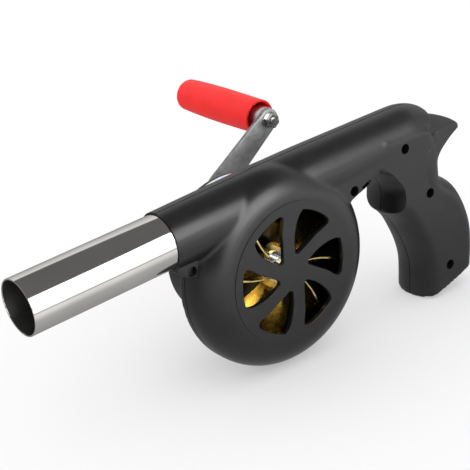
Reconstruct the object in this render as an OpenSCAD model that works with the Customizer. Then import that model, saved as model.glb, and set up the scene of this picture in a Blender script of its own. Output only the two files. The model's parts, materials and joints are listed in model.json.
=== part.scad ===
// Hand-cranked air blower in the shape of a pistol.
// Lengths are in millimetres. X runs from the muzzle to the grip, Y from the grille side to the crank side.
// Plan modules are drawn flat, X to the right and the blower's height up. They rise away from the parting
// plane.

/* [Nozzle tube] */
// Outer diameter of the steel tube
tube_d = 28; // [24:0.5:30]
// Wall of the steel tube
tube_wall = 0.8; // [0.5:0.1:1.5]
// Length of tube in front of the body
tube_out = 78; // [50:1:120]
// Length of tube held in the body
tube_seat = 18; // [10:1:20]

/* [Fan casing] */
// Outer radius of the round fan casing
casing_r = 52.7; // [51:0.1:56]
// Distance from the body's mouth to the fan axis
casing_back = 60.8; // [60:0.1:64]
// Depth of the fan axis below the nozzle's axis
casing_drop = 36.5; // [34:0.5:40]
// Depth of the grille half, from the parting plane to the grille's face
near_depth = 18.5; // [17.5:0.5:22]
// Depth of the casing's rim on the crank side
far_rim = 4.6; // [4.2:0.1:6]
// Radius of the rounded shoulder round the grille
shoulder_r = 16.3; // [10:0.1:16.5]
// Wall of the moulded shells
wall = 2.2; // [1.8:0.1:2.6]

/* [Grille] */
// Number of swirled vents
vent_count = 6; // [5:1:6]
// Radius that the vents reach
vent_r = 31.8; // [28:0.1:33]
// Radius of the fine line round the vents
line_r = 36.4; // [35:0.1:38]
// Width of the fine line
line_w = 0.5; // [0.3:0.1:1]
// Depth of the fine line
line_depth = 0.3; // [0.2:0.1:0.6]

/* [Barrel and grip] */
// Radius of the barrel at the mouth
mouth_r = 14.9; // [14.8:0.1:15.5]
// Largest radius of the barrel, over the casing
barrel_r = 16; // [15.8:0.1:17]
// Distance from the mouth to the barrel's largest radius
mouth_taper = 68; // [50:1:75]
// Radius of the barrel where its rounded rear end starts
tail_root_r = 14.9; // [14.5:0.1:15.6]
// Distance from the mouth to the tip of the rear spur
body_len = 196; // [192:1:204]
// Depth of the grip's foot below the nozzle's axis
grip_drop = 95; // [92:0.1:100]
// Thickness of the grip
grip_t = 30; // [29.5:0.5:34]
// Rounding of the grip's edges, seen from the side
grip_edge = 8; // [6:0.5:9]
// Length of the barrel's rounded rear end
tail_len = 23; // [18:1:26]
// Thickness of the spur at its root
spur_root_t = 18; // [14:0.5:22]
// Thickness of the spur at its tip
spur_tip_t = 4; // [3:0.5:8]
// Slope of the grip's foot, in degrees
foot_slope = 14.3; // [8:0.1:18]

/* [Gear housing] */
// Radius of the gear housing
gearbox_r = 38; // [37.5:0.1:40]
// Depth of the gear housing from the parting plane
gearbox_y = 37; // [36:0.5:42]
// Depth at which the gear cover meets the far half
cover_split = 20; // [18.5:0.5:21]
// Radius of the bearing tower at its root
tower_root_r = 14.5; // [12:0.5:17]
// Radius of the bearing tower at its top
tower_top_r = 11; // [9:0.5:12]
// Depth of the tower's top from the parting plane
tower_y = 53; // [50:0.5:56]

/* [Gears] */
// Gear module
gear_module = 0.8; // [0.75:0.01:0.82]
// Teeth of the two large gears
wheel_teeth = 36; // [30:1:36]
// Teeth of the two pinions
pinion_teeth = 10; // [10:1:12]
// Width of the large gears
gear_w = 5; // [4:0.1:5.2]
// Width of the pinions' teeth
pinion_w = 6.6; // [6:0.1:6.8]
// Direction of the idler from the fan axis, in degrees
idler_angle = -60; // [-90:5:-30]

/* [Fan] */
// Radius of the fan over its paddles
fan_r = 38; // [32:0.5:40]
// Number of paddles
paddle_count = 8; // [6:1:10]
// Height of a paddle above the fan's plate
paddle_h = 11; // [8:0.5:11.5]
// Sheet thickness of the fan
sheet_t = 0.8; // [0.6:0.1:1.2]
// Radius of the fan's centre disc
disc_r = 12; // [10:0.5:14]

/* [Shafts and bearings] */
// Diameter of the fan shaft
fan_shaft_d = 4; // [3.6:0.1:4.4]
// Diameter of the crank shaft
crank_shaft_d = 8; // [7:0.1:8.5]
// Diameter of the fixed idler pin
idler_pin_d = 3; // [2.6:0.1:3.4]
// Wall of the bearing bushes
bush_wall = 2; // [1.5:0.1:2.2]
// Running clearance on the radius
run_gap = 0.05; // [0.02:0.01:0.1]
// Clearance between faces that turn past each other
face_gap = 0.3; // [0.2:0.05:0.4]

/* [Crank] */
// Distance from the crank shaft to the handle's axis
arm_len = 73.5; // [60:0.5:85]
// Direction of the arm above the nozzle's axis at rest, in degrees
arm_angle = 33.2; // [-180:0.1:180]
// Thickness of the arm
arm_t = 2; // [1.5:0.1:2.4]
// Width of the arm at the handle
arm_end_w = 12.4; // [11:0.1:14]
// Width of the arm at the crank shaft
arm_hub_w = 18; // [15:0.5:20]
// Outward step of the arm
arm_step = 12.5; // [6:0.5:14]

/* [Handle] */
// Diameter of the red sleeve
handle_d = 19.2; // [18:0.1:22]
// Length of the red sleeve with its cap
handle_len = 66.5; // [60:0.5:90]
// Gap between the arm and the sleeve's mouth
handle_gap = 6; // [4:0.5:8]
// Wall of the sleeve at its mouth
sleeve_wall = 1.5; // [1.2:0.1:2]
// Depth of the sleeve's open mouth
sleeve_mouth = 12; // [8:0.5:16]
// Diameter of the spacer between arm and sleeve
spacer_d = 12.8; // [10:0.1:13.5]
// Diameter of the handle bolt's shank
bolt_d = 6; // [5:0.1:6.5]

/* [Hidden] */
// Fineness of round surfaces, of rounded plates and of freely curved outlines
$fn = 96;
edge_fn = 16;
edge_steps = 8;
curve_steps = 2;
// Overrun of cuts, and the clearance of seats that don't move
cut = 1;
snug = 0.02;
skin = 0.1;
// Small sizes of the shells
tail_relief = 0.2;
mouth_bevel = 0.4;
tail_back = 21;
hollow_step = 0.6;
belly_len = 18;
duct_past = 34;
spur_reach = 25;
rim_edge = 0.4;
cover_edge = 3;

// Main places
tube_r = tube_d / 2;
casing_x = tube_out + casing_back;
casing_z = -casing_drop;
axis_xz = [casing_x, casing_z];
half_t = grip_t / 2;
tail_r = tube_r - tail_relief;
tail_x = tube_out + body_len - tail_back - tail_len;
duct_end_x = casing_x + duct_past;
tail_hollow_x = duct_end_x + wall;
spur_x = tube_out + body_len - spur_reach;
spur_tip_x = tube_out + body_len;

// Grip outline, as shares of the body's length behind the mouth and of the grip's depth
grip_shares = [[0.541, 0.063], [0.612, 0.084], [0.735, 0.084], [0.816, 0.079], [0.857, 0.021],
    [0.875, -0.084], [0.875, -0.168], [0.872, -0.232], [0.874, -0.284], [0.893, -0.326], [0.929, -0.392],
    [0.959, -0.516], [0.976, -0.653], [0.974, -0.789], [0.965, -0.911], [0.959, -1.032], [0.939, -1.137],
    [0.878, -1.179], [0.806, -1.168], [0.778, -1.095], [0.771, -1], [0.777, -0.905], [0.78, -0.8],
    [0.77, -0.695], [0.753, -0.595], [0.73, -0.495], [0.699, -0.426], [0.671, -0.381], [0.649, -0.332],
    [0.643, -0.284], [0.651, -0.232], [0.663, -0.179], [0.653, -0.095], [0.612, -0.032], [0.561, 0]];
spur_shares = [[0.86, 0.053], [0.905, 0.045], [0.945, 0.005], [0.98, -0.06], [1, -0.095], [0.998, -0.125],
    [0.973, -0.135], [0.92, -0.162], [0.888, -0.195], [0.866, -0.251], [0.837, -0.211], [0.837, -0.063]];
// Corner web between casing and barrel, behind the casing, in the same shares
web_shares = [[0.474, 0], [0.48, -0.189], [0.526, -0.195], [0.541, -0.171], [0.564, -0.147],
    [0.587, -0.116], [0.607, -0.101], [0.648, -0.099], [0.648, 0]];
// Lug under the mouth, in the same shares
lug_shares = [[0.007, -0.095], [0.007, -0.161], [0.038, -0.215], [0.067, -0.229], [0.097, -0.242],
    [0.138, -0.095]];
// Screws through grip, web and lug, and the front corner of the foot, in the same shares
screw_shares = [[0.737, -0.025], [0.811, -0.345], [0.861, -0.834]];
web_screw_share = [0.55, -0.125];
lug_screw_share = [0.048, -0.182];
foot_share = [0.771, -1];
// Finger groove across the front of the grip, in the same shares
groove_shares = [[0.52, -0.097], [0.628, -0.095], [0.658, -0.108], [0.689, -0.149], [0.706, -0.198],
    [0.713, -0.247], [0.714, -0.289], [0.709, -0.332], [0.7, -0.366], [0.692, -0.394], [0.648, -0.484],
    [0.52, -0.484]];
slot_share = [0.593, -0.122];
slot_angle = 20;
// Vent outline, as shares of the radius that the vents reach
vent_shares = [[0.985, 0.174], [1, 0], [0.982, -0.187], [0.94, -0.342], [0.904, -0.396], [0.839, -0.404],
    [0.738, -0.313], [0.658, -0.238], [0.479, -0.111], [0.337, -0.005], [0.3, 0.036], [0.308, 0.088],
    [0.358, 0.117], [0.523, 0.192], [0.728, 0.231], [0.878, 0.228], [0.951, 0.202]];

function place(share) = [tube_out + share.x * body_len, share.y * grip_drop];
function places(shares) = [for (share = shares) place(share)];
function spline(p, q, r, s, t) =
    ((2 * q) + (r - p) * t + (2 * p - 5 * q + 4 * r - s) * t * t + (3 * q - p - 3 * r + s) * t * t * t) / 2;
function closed_curve(points) = let (n = len(points))
    [for (i = [0:n - 1], k = [0:curve_steps - 1])
        spline(points[(i + n - 1) % n], points[i], points[(i + 1) % n], points[(i + 2) % n],
            k / curve_steps)];
function turned(r, angle) = [r * cos(angle), r * sin(angle)];

grip_outline = closed_curve(places(grip_shares));
foot = place(foot_share);
groove = places(groove_shares);
// Inset of the rounded grip at a depth, and the depths of its stepped hollow
function edge_inset(depth) = grip_edge * (1 - sqrt(1 - pow(depth / half_t, 2)));
hollow_mid = hollow_step * half_t;
hollow_top = half_t - wall;

// Pitch at which the casing and the foot of the grip both touch the table
foot_reach = foot - axis_xz;
stand_pitch = asin(-casing_r / norm(foot_reach)) - atan2(foot_reach.y, foot_reach.x);
function pitched(p) = [p.x * cos(stand_pitch) - p.y * sin(stand_pitch),
    p.x * sin(stand_pitch) + p.y * cos(stand_pitch)];

// Depths from the parting plane, towards the grille
near_inner = near_depth - wall;
lug_y = 8;
web_y = half_t - 2 * skin;
// Depths from the parting plane, towards the crank
far_inner = far_rim - wall;
boss_rise = 4;
boss_wall = 2.5;
bearing_r = fan_shaft_d / 2 + run_gap + bush_wall;
fan_boss_r = bearing_r + boss_wall;
rear_bearing_end = far_rim + boss_rise;
rear_bearing_start = -1;
front_bearing_len = 4;
shaft_end_gap = 0.6;
fan_hub_r = 4.5;
fan_hub_len = 6;
fan_flange_r = 7;
fan_flange_t = 1;
fan_hub_y = face_gap - rear_bearing_start;
fan_plate_y = fan_hub_y + sheet_t;
fan_nut_af = 7;
fan_nut_t = 3.2;
paddle_sweep = -16;
paddle_mid_r = (disc_r + fan_r) / 2;
paddle_foot = 13;
paddle_turn = sheet_t / paddle_mid_r * 180 / PI;
paddle_steps = 5;

// Gear train
wheel_r = gear_module * wheel_teeth / 2;
pinion_r = gear_module * pinion_teeth / 2;
gear_distance = wheel_r + pinion_r;
idler_xz = axis_xz + turned(gear_distance, idler_angle);
pressure_angle = 25;
backlash = 0.14;
addendum = 0.9 * gear_module;
dedendum = 1.2 * gear_module;
flank_steps = 3;
pinion_start = rear_bearing_end + face_gap;
pinion_end = pinion_start + pinion_w;
idler_start = pinion_start + face_gap;
crank_gear_start = pinion_end + shaft_end_gap + face_gap;
crank_gear_end = crank_gear_start + gear_w;
idler_end = crank_gear_end + face_gap;
idler_boss_r = 4;
idler_pin_end = idler_end + 2 * boss_rise;
idler_pin_start = far_inner + skin;

// Crank bearing and crank shaft
crank_bearing_r = crank_shaft_d / 2 + run_gap + bush_wall;
crank_boss_r = crank_bearing_r + boss_wall;
crank_hub_r = 8;
crank_hub_len = 5;
crank_bearing_start = crank_gear_end + crank_hub_len + face_gap;
thrust_t = 0.8;
arm_y = tower_y + face_gap + thrust_t;
arm_seat_d = 6;
washer_t = 1;
shaft_washer_d = 12;
shaft_nut_af = 10;
shaft_nut_t = 5;
shaft_tip = 1.2;
arm_seat_flat = 4.8;
thrust_r = tower_top_r - 2 * thrust_t;

// Crank arm and handle
handle_xz = axis_xz + turned(arm_len, arm_angle);
arm_end_y = arm_y + arm_step;
bend_start = 13;
bend_angle = 45;
bend_end = bend_start + arm_step / tan(bend_angle);
handle_thread_d = 4;
handle_washer_d = 9.4;
handle_washer_t = 0.8;
handle_nut_af = 7;
handle_nut_t = 3.2;
handle_nut_tip = 0.8;
handle_tip_y = arm_end_y - handle_washer_t - handle_nut_t - handle_nut_tip;
bend_ease = arm_t * tan(bend_angle / 2);
sleeve_y = arm_end_y + arm_t + handle_gap;
sleeve_end = sleeve_y + handle_len;
cap_t = 3;
cap_edge = 2.6;
cap_bore_depth = 10;
cap_bore_r = 6.5;
cap_sink = 0.4;
spacer_end = sleeve_y + sleeve_mouth - face_gap;
core_end = sleeve_end - cap_bore_depth;
bolt_head_d = 10;
bolt_head_t = 3;
bolt_head_y = core_end + face_gap;
mouth_bore_r = handle_d / 2 - sleeve_wall;

// Screws
screw_hole_d = 5.4;
screw_head_d = 5;
screw_head_t = 2;
screw_d = 2.9;
screw_seat_y = 5.5;
lug_seat_y = 3.6;
screw_reach = 9;
lug_reach = 6;
post_r = 4.6;
slot_len = 6;
slot_w = 2.4;
cover_post_r = 3.2;
cover_post_angles = [0, 120, 240];
cover_post_ring = gearbox_r - wall / 2 - cover_post_r;
cover_screw_d = 2.5;
cover_head_d = 4.4;
cover_head_t = 1.8;
cover_head_sink = 0.6;
cover_screw_len = 22;
cover_screw_y = gearbox_y - cover_head_t - cover_head_sink;
label_start = 50;
label_sweep = 110;
label_margin = 1.5;
label_t = 0.2;
lip_t = 1.2;
lip_len = 2.5;

// Turn a plan, which rises along its own height, towards the grille or towards the crank
module to_near() rotate([90, 0, 0]) children();
module to_far() mirror([0, 1, 0]) rotate([90, 0, 0]) children();
module at(xz) translate([xz.x, xz.y]) children();

// Stand the blower on the table, with the origin under the middle of its box
reach_x = [for (p = concat(grip_outline, closed_curve(places(spur_shares)))) pitched(p).x];
low_x = pitched([0, tube_r]).x;
low_z = pitched(axis_xz).y - casing_r;
mid_x = (low_x + max(reach_x)) / 2;
mid_y = (sleeve_end - near_depth) / 2;
module stand() translate([-mid_x, -mid_y, -low_z]) rotate([0, -stand_pitch, 0]) children();

// Involute gear outline, with its first tooth on the X axis
function involute_point(base_r, r, lean) = let (a = acos(base_r / r))
    turned(r, lean - (tan(a) * 180 / PI - a));
module gear_outline(teeth) {
    pitch_r = gear_module * teeth / 2;
    base_r = pitch_r * cos(pressure_angle);
    tip_r = pitch_r + addendum;
    root_r = pitch_r - dedendum;
    start_r = max(base_r, root_r);
    half_tooth = 90 / teeth - backlash / pitch_r * 90 / PI;
    lean = half_tooth + tan(pressure_angle) * 180 / PI - pressure_angle;
    flank = [for (i = [0:flank_steps])
        involute_point(base_r, start_r + (tip_r - start_r) * i / flank_steps, lean)];
    root_angle = atan2(flank[0].y, flank[0].x);
    tooth = concat([turned(root_r, -root_angle)],
        [for (i = [0:flank_steps]) [flank[i].x, -flank[i].y]],
        [for (i = [flank_steps:-1:0]) flank[i]],
        [turned(root_r, root_angle)]);
    polygon([for (k = [0:teeth - 1], p = tooth)
        let (a = 360 * k / teeth) [p.x * cos(a) - p.y * sin(a), p.x * sin(a) + p.y * cos(a)]]);
}

// Outer forms of the shells
module grip_pillow(side)
    intersection() {
        minkowski() {
            to_near() translate([0, 0, -skin / 2]) linear_extrude(skin)
                offset(delta = -grip_edge) polygon(grip_outline);
            scale([grip_edge, half_t - skin / 2, grip_edge]) rotate([90, 0, 0]) sphere(1, $fn = edge_fn);
        }
        half_space(side, cut);
        foot_cut();
    }
// Everything on one side of the parting plane, or above the slope of the foot
module half_space(side, overrun = 0)
    translate([0, side < 0 ? overrun - 2 * grip_t : -overrun, -2 * grip_drop])
        cube([2 * body_len, 2 * grip_t, 3 * grip_drop]);
module foot_cut()
    translate([foot.x, -grip_t, foot.y]) rotate([0, -foot_slope, 0])
        translate([-body_len, 0, 0]) cube([2 * body_len, 2 * grip_t, 2 * grip_drop]);
// The barrel turns about the nozzle's axis, with an elliptical tail
module barrel_solid()
    rotate([0, 90, 0]) rotate_extrude() polygon(concat(
        [[0, tube_out], [mouth_r, tube_out], [barrel_r, tube_out + mouth_taper],
            [barrel_r, tube_out + mouth_taper + belly_len]],
        [for (i = [0:edge_steps - 1]) let (angle = 90 * i / edge_steps)
            [tail_root_r * cos(angle), tail_x + tail_len * sin(angle)]],
        [[0, tail_x + tail_len]]));
// The spur is as thick as its root at the barrel and narrows to its tip
module spur_solid()
    intersection() {
        to_near() translate([0, 0, -spur_root_t]) linear_extrude(2 * spur_root_t)
            polygon(closed_curve(places(spur_shares)));
        translate([0, 0, -grip_drop]) linear_extrude(2 * grip_drop)
            polygon([[spur_x, -spur_root_t / 2], [spur_tip_x, -spur_tip_t / 2],
                [spur_tip_x, spur_tip_t / 2], [spur_x, spur_root_t / 2]]);
    }
// A round plan form with a rounded outer edge
module drum(r, height, edge)
    rotate_extrude() polygon(concat([[0, 0], [r, 0]],
        [for (i = [0:edge_steps]) [r - edge, height - edge] + turned(edge, 90 * i / edge_steps)],
        [[0, height]]));
module body_webs() {
    translate([0, 0, -cut]) linear_extrude(cut + web_y) polygon(places(web_shares));
    translate([0, 0, -cut]) linear_extrude(cut + lug_y) polygon(places(lug_shares));
}

// Hollows inside the shells
module grip_hollow()
    difference() {
        intersection() {
            union() {
                for (depth = [hollow_mid, hollow_top])
                    linear_extrude(depth) offset(delta = -wall - edge_inset(depth)) polygon(grip_outline);
            }
            translate(foot) rotate(foot_slope) translate([-body_len, wall, 0])
                cube([2 * body_len, 2 * grip_drop, grip_t]);
        }
        at(axis_xz) cylinder(h = grip_t, r = casing_r);
        linear_extrude(grip_t) offset(delta = wall) polygon(groove);
    }
module barrel_hollow() {
    translate([tail_hollow_x, 0, 0]) rotate([0, 90, 0])
        cylinder(h = tail_x - tail_hollow_x, r = tail_root_r - wall);
    translate([tube_out + tube_seat, 0, 0]) rotate([0, 90, 0])
        cylinder(h = duct_end_x - tube_out - tube_seat, r = tail_root_r - wall);
    translate([tube_out - cut, 0, 0]) rotate([0, 90, 0]) cylinder(h = tube_seat + cut, r = tail_r + snug);
    translate([tube_out, 0, 0]) rotate([0, 90, 0])
        cylinder(h = mouth_bevel, r1 = tail_r + mouth_bevel, r2 = tail_r);
}
module finger_groove()
    to_far() translate([0, 0, -grip_t]) linear_extrude(2 * grip_t) polygon(groove);

// Places of the body screws, with the depth of each head's seat
screw_spots = concat([for (share = screw_shares) [place(share), screw_seat_y, screw_reach]],
    [[place(web_screw_share), screw_seat_y, screw_reach], [place(lug_screw_share), lug_seat_y, lug_reach]]);
module screw_holes_near()
    for (spot = screw_spots) at(spot[0]) {
        translate([0, 0, spot[1]]) cylinder(h = near_depth, r = screw_hole_d / 2);
        translate([0, 0, -cut]) cylinder(h = near_depth, r = screw_d / 2 + skin);
    }
module vent()
    polygon([for (p = closed_curve(vent_shares)) p * vent_r]);

module near_housing()
    color([0.2, 0.2, 0.21]) stand() intersection() {
        difference() {
            union() {
                difference() {
                    union() {
                        barrel_solid();
                        difference() {
                            grip_pillow(-1);
                            finger_groove();
                        }
                        spur_solid();
                        to_near() at(axis_xz) translate([0, 0, -cut])
                            drum(casing_r, cut + near_depth, shoulder_r);
                        to_near() body_webs();
                    }
                    to_near() at(axis_xz) translate([0, 0, -2 * cut])
                        drum(casing_r - wall, 2 * cut + near_inner, shoulder_r - wall);
                    to_near() grip_hollow();
                    barrel_hollow();
                }
                to_near() at(axis_xz) translate([0, 0, near_inner - front_bearing_len])
                    cylinder(h = front_bearing_len + skin, r = fan_boss_r);
                for (share = screw_shares)
                    to_near() at(place(share)) translate([0, 0, -cut])
                        cylinder(h = cut + hollow_top + skin, r = post_r);
            }
            to_near() {
                at(axis_xz) {
                    translate([0, 0, near_inner - front_bearing_len - cut])
                        cylinder(h = front_bearing_len + cut, r = bearing_r + snug);
                    for (k = [0:vent_count - 1]) rotate(k * 360 / vent_count)
                        translate([0, 0, near_inner - cut]) linear_extrude(wall + 2 * cut) vent();
                    translate([0, 0, near_depth - line_depth]) difference() {
                        cylinder(h = cut, r = line_r + line_w / 2);
                        translate([0, 0, -cut]) cylinder(h = 3 * cut, r = line_r - line_w / 2);
                    }
                }
                screw_holes_near();
                at(place(slot_share)) rotate(slot_angle) translate([0, 0, screw_seat_y])
                    linear_extrude(near_depth) square([slot_len, slot_w], center = true);
            }
        }
        half_space(-1);
    }

module far_housing()
    color([0.18, 0.18, 0.19]) stand() difference() {
        union() {
            intersection() {
                difference() {
                    union() {
                        barrel_solid();
                        difference() {
                            grip_pillow(1);
                            finger_groove();
                        }
                        spur_solid();
                        to_far() at(axis_xz) translate([0, 0, -cut]) drum(casing_r, cut + far_rim, rim_edge);
                        to_far() at(axis_xz) translate([0, 0, -cut])
                            cylinder(h = cut + cover_split, r = gearbox_r);
                        to_far() body_webs();
                    }
                    to_far() at(axis_xz) translate([0, 0, -2 * cut])
                        cylinder(h = 2 * cut + far_inner, r = casing_r - wall);
                    to_far() at(axis_xz) translate([0, 0, far_rim])
                        cylinder(h = cover_split, r = gearbox_r - wall);
                    to_far() grip_hollow();
                    difference() {
                        barrel_hollow();
                        to_far() at(axis_xz) translate([0, 0, far_inner])
                            cylinder(h = cover_split, r = gearbox_r);
                    }
                }
                half_space(1);
            }
            to_far() at(axis_xz) translate([0, 0, rear_bearing_start])
                cylinder(h = rear_bearing_end - rear_bearing_start, r = fan_boss_r);
            to_far() at(idler_xz) translate([0, 0, far_inner])
                cylinder(h = idler_start - face_gap - far_inner, r = idler_boss_r);
            for (share = screw_shares)
                to_far() at(place(share)) cylinder(h = hollow_top + skin, r = post_r);
            to_far() cover_posts(far_rim - skin, cover_split - skin, 0);
        }
        to_far() {
            at(axis_xz) translate([0, 0, rear_bearing_start - cut])
                cylinder(h = cover_split, r = bearing_r + snug);
            at(idler_xz) translate([0, 0, idler_pin_start])
                cylinder(h = cover_split, r = idler_pin_d / 2 + snug);
            for (spot = screw_spots) at(spot[0]) translate([0, 0, -cut])
                cylinder(h = spot[2] + cut + face_gap, r = screw_d / 2 + snug);
            cover_posts(cover_screw_y - cover_screw_len - face_gap, cover_split + cut,
                cover_screw_d / 2 + snug);
        }
    }
// Posts of the cover screws between two depths, or their holes where a radius is given
module cover_posts(from, to, hole_r)
    at(axis_xz) for (angle = cover_post_angles) rotate(angle) translate([cover_post_ring, 0, from])
        cylinder(h = to - from, r = hole_r > 0 ? hole_r : cover_post_r);

// The cover, its lip and the bearing tower turn from one profile of radii and depths
cover_profile = concat(
    [[gearbox_r, cover_split]],
    [for (i = [0:edge_steps]) [gearbox_r - cover_edge, gearbox_y - cover_edge]
        + turned(cover_edge, 90 * i / edge_steps)],
    [[tower_root_r, gearbox_y], [tower_top_r, tower_y], [crank_bearing_r + snug, tower_y],
        [crank_bearing_r + snug, crank_bearing_start], [crank_boss_r, crank_bearing_start],
        [crank_boss_r, gearbox_y - wall], [gearbox_r - wall, gearbox_y - wall],
        [gearbox_r - wall, cover_split + lip_len], [gearbox_r - wall - lip_t, cover_split + lip_len],
        [gearbox_r - wall - lip_t, cover_split - lip_len],
        [gearbox_r - wall - face_gap, cover_split - lip_len],
        [gearbox_r - wall - face_gap, cover_split]]);
module gear_cover()
    color([0.19, 0.19, 0.2]) stand() to_far() difference() {
        union() {
            difference() {
                at(axis_xz) rotate_extrude() polygon(cover_profile);
                cover_posts(far_rim, cover_split, cover_post_r + face_gap);
            }
            at(idler_xz) translate([0, 0, idler_end + face_gap])
                cylinder(h = gearbox_y - wall / 2 - idler_end - face_gap, r = idler_boss_r);
            cover_posts(cover_split, gearbox_y - wall / 2, 0);
        }
        at(idler_xz) translate([0, 0, idler_end]) cylinder(h = idler_pin_end - idler_end + skin,
            r = idler_pin_d / 2 + snug);
        cover_posts(cover_split - cut, gearbox_y, cover_screw_d / 2 + snug);
        cover_posts(cover_screw_y, gearbox_y + cut, cover_head_d / 2 + skin);
    }
module cover_label()
    color([0.62, 0.72, 0.86]) stand() to_far() at(axis_xz) rotate(label_start)
        rotate_extrude(angle = label_sweep) translate([gearbox_r + snug, cover_split + label_margin])
            square([label_t, gearbox_y - cover_edge - cover_split - 2 * label_margin]);

module nozzle_tube()
    color([0.75, 0.74, 0.72]) stand() rotate([0, 90, 0]) difference() {
        union() {
            cylinder(h = tube_out, r = tube_r);
            cylinder(h = tube_out + tube_seat, r = tail_r);
        }
        translate([0, 0, -cut]) cylinder(h = tube_out + tube_seat + 2 * cut, r = tube_r - tube_wall);
    }

module bush(from, to, outer_r, inner_r)
    translate([0, 0, from]) difference() {
        cylinder(h = to - from, r = outer_r);
        translate([0, 0, -cut]) cylinder(h = to - from + 2 * cut, r = inner_r);
    }
module front_bearing()
    color([0.72, 0.55, 0.3]) stand() to_near() at(axis_xz)
        bush(near_inner - front_bearing_len, near_inner - snug, bearing_r, fan_shaft_d / 2 + run_gap);
module rear_bearing()
    color([0.72, 0.55, 0.3]) stand() to_far() at(axis_xz)
        bush(rear_bearing_start, rear_bearing_end, bearing_r, fan_shaft_d / 2 + run_gap);
module crank_bearing()
    color([0.72, 0.55, 0.3]) stand() to_far() at(axis_xz)
        bush(crank_bearing_start, tower_y, crank_bearing_r, crank_shaft_d / 2 + run_gap);
module idler_pin()
    color([0.7, 0.7, 0.72]) stand() to_far() at(idler_xz) translate([0, 0, idler_pin_start + snug])
        cylinder(h = idler_pin_end - idler_pin_start - snug, r = idler_pin_d / 2);

module pan_screw(head_d, head_t, shank_d, shank_len) {
    cylinder(h = head_t, r = head_d / 2);
    translate([0, 0, -shank_len]) cylinder(h = shank_len, r = shank_d / 2);
}
module housing_screws()
    color([0.5, 0.5, 0.52]) stand() to_near() for (spot = screw_spots)
        at(spot[0]) translate([0, 0, spot[1]])
            pan_screw(screw_head_d, screw_head_t, screw_d, spot[1] + spot[2]);
module cover_screws()
    color([0.5, 0.5, 0.52]) stand() to_far() at(axis_xz) for (angle = cover_post_angles)
        rotate(angle) translate([cover_post_ring, 0, cover_screw_y])
            pan_screw(cover_head_d, cover_head_t, cover_screw_d, cover_screw_len);

// The fan and what turns with it
module fan_shaft()
    color([0.72, 0.72, 0.74]) stand() to_near() at(axis_xz) translate([0, 0, -pinion_end])
        cylinder(h = pinion_end + near_inner - face_gap, r = fan_shaft_d / 2);
function paddle_line(turn) = [for (i = [0:paddle_steps])
    let (r = disc_r - sheet_t + (fan_r - disc_r + sheet_t) * i / paddle_steps)
        turned(r, turn + paddle_sweep * (r - disc_r) / (fan_r - disc_r))];
function reversed(points) = [for (i = [len(points) - 1:-1:0]) points[i]];
module fan_wheel()
    color([0.82, 0.67, 0.3]) stand() to_near() at(axis_xz) translate([0, 0, fan_plate_y]) {
        difference() {
            union() {
                cylinder(h = sheet_t, r = disc_r);
                for (k = [0:paddle_count - 1]) rotate(k * 360 / paddle_count) {
                    linear_extrude(sheet_t)
                        polygon(concat(paddle_line(0), reversed(paddle_line(-paddle_foot))));
                    linear_extrude(paddle_h)
                        polygon(concat(paddle_line(0), reversed(paddle_line(-paddle_turn))));
                }
            }
            translate([0, 0, -cut]) cylinder(h = paddle_h, r = fan_hub_r + snug);
        }
    }
module fan_hub()
    color([0.7, 0.7, 0.72]) stand() to_near() at(axis_xz) difference() {
        union() {
            translate([0, 0, fan_hub_y]) cylinder(h = fan_hub_len, r = fan_hub_r);
            translate([0, 0, fan_plate_y + sheet_t]) cylinder(h = fan_flange_t, r = fan_flange_r);
        }
        translate([0, 0, -cut]) cylinder(h = near_inner, r = fan_shaft_d / 2 + snug);
    }
module hex_nut(across, height, hole_r)
    difference() {
        cylinder(h = height, r = across / 2 / cos(30), $fn = 6);
        translate([0, 0, -cut]) cylinder(h = height + 2 * cut, r = hole_r);
    }
module fan_nut()
    color([0.75, 0.75, 0.77]) stand() to_near() at(axis_xz) translate([0, 0, fan_hub_y + fan_hub_len])
        hex_nut(fan_nut_af, fan_nut_t, fan_shaft_d / 2 + snug);
module fan_pinion()
    color([0.9, 0.9, 0.88]) stand() to_far() at(axis_xz) translate([0, 0, pinion_start]) difference() {
        linear_extrude(pinion_w) rotate(idler_angle + 180 / pinion_teeth) gear_outline(pinion_teeth);
        translate([0, 0, -cut]) cylinder(h = pinion_w + 2 * cut, r = fan_shaft_d / 2 + snug);
    }

// The idler, one moulding of a large gear and a pinion
module idler_gear()
    color([0.9, 0.9, 0.88]) stand() to_far() at(idler_xz) difference() {
        union() {
            translate([0, 0, idler_start]) linear_extrude(gear_w)
                rotate(idler_angle + 180) gear_outline(wheel_teeth);
            translate([0, 0, idler_start]) linear_extrude(idler_end - idler_start)
                rotate(idler_angle + 180 + 180 / pinion_teeth) gear_outline(pinion_teeth);
        }
        cylinder(h = 2 * idler_end, r = idler_pin_d / 2 + run_gap);
    }

// The crank and what turns with it
module crank_gear()
    color([0.9, 0.9, 0.88]) stand() to_far() at(axis_xz) translate([0, 0, crank_gear_start]) difference() {
        union() {
            linear_extrude(gear_w) rotate(idler_angle) gear_outline(wheel_teeth);
            cylinder(h = gear_w + crank_hub_len, r = crank_hub_r);
        }
        translate([0, 0, -cut]) cylinder(h = gear_w + crank_hub_len + 2 * cut, r = crank_shaft_d / 2 + snug);
    }
module flatted(r, flat) intersection() {
    circle(r);
    square([2 * r, flat], center = true);
}
module crank_shaft()
    color([0.72, 0.72, 0.74]) stand() to_far() at(axis_xz) rotate(arm_angle) {
        translate([0, 0, crank_gear_start]) cylinder(h = arm_y - crank_gear_start, r = crank_shaft_d / 2);
        translate([0, 0, arm_y]) linear_extrude(arm_t) flatted(arm_seat_d / 2, arm_seat_flat);
        translate([0, 0, arm_y + arm_t])
            cylinder(h = washer_t + shaft_nut_t + shaft_tip, r = arm_seat_d / 2);
    }
module thrust_washer()
    color([0.85, 0.85, 0.83]) stand() to_far() at(axis_xz)
        bush(tower_y + face_gap, arm_y, thrust_r, crank_shaft_d / 2 + snug);
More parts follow.
